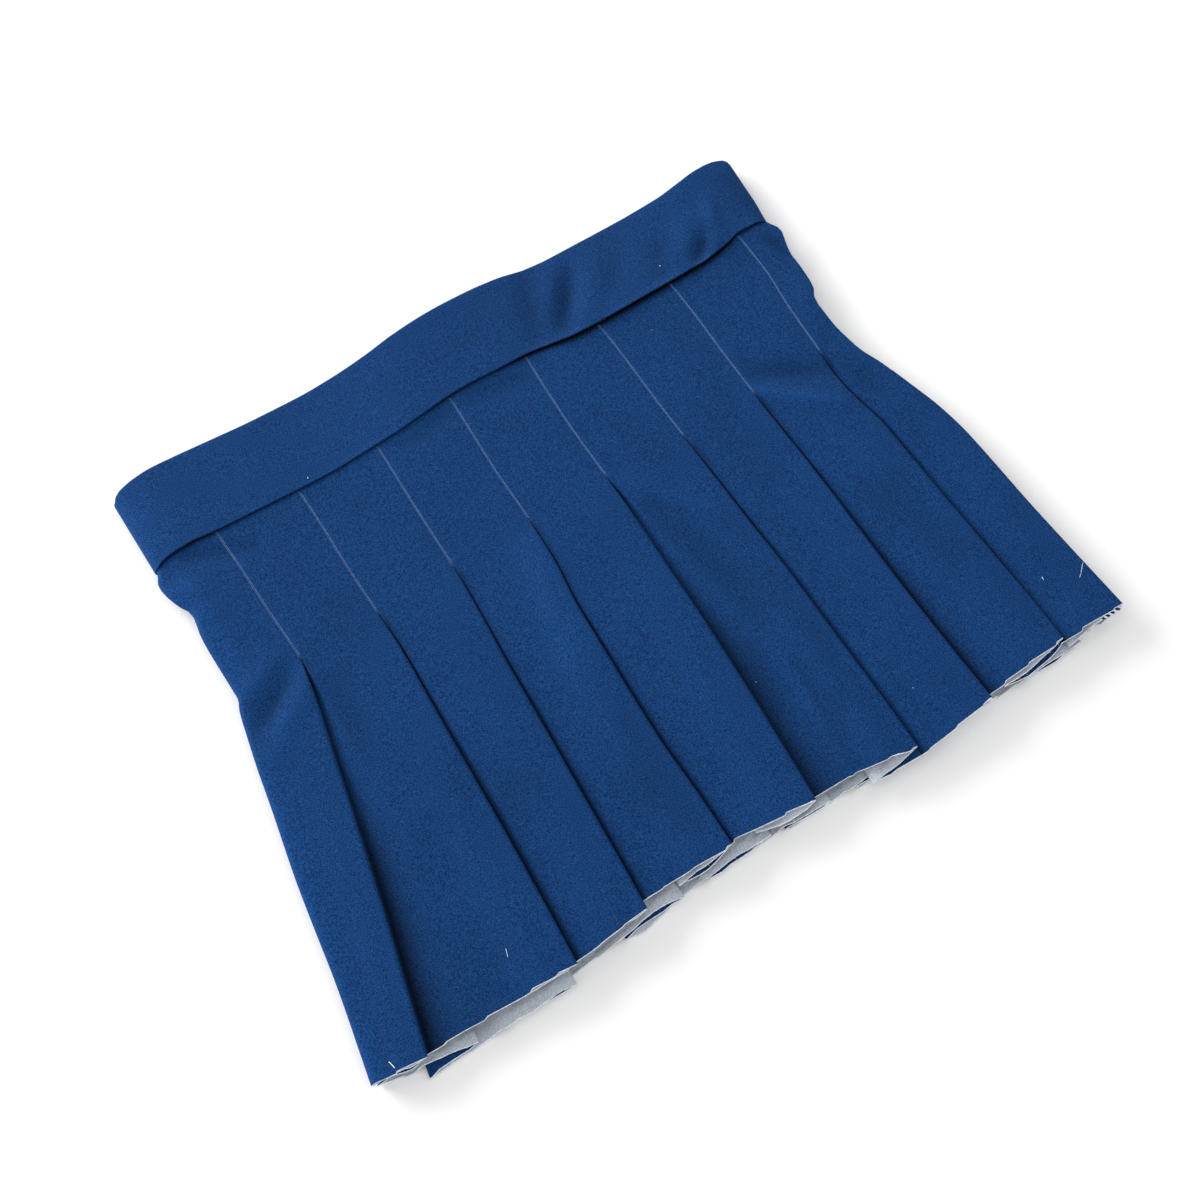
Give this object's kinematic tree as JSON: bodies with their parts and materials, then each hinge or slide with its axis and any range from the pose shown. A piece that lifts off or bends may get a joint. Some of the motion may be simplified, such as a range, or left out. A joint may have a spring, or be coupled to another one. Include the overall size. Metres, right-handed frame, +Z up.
{
  "type": "tennis skirt",
  "caption": "Knife-pleated tennis skirt laid flat with its front up: folded waistband, pleats stitched down below it and open to a raw-cut hem.",
  "frame": {"origin": "middle of the underside, on the surface that the skirt lies on", "axes": "+X across the waist towards the wearer's left as the front is seen, +Y from hem to waistband, +Z up from the surface"},
  "size_m": [0.3824, 0.3004, 0.011],
  "materials": {
    "waistband_knit": "matte smooth blue knit, folded double over elastic",
    "skirt_knit": "matte smooth blue knit, pale grey inside and at the raw-cut hem"
  },
  "bodies": {
    "root": {"waistband": "waistband_knit", "skirt_front": "skirt_knit", "skirt_back": "skirt_knit"}
  },
  "joints": []
}
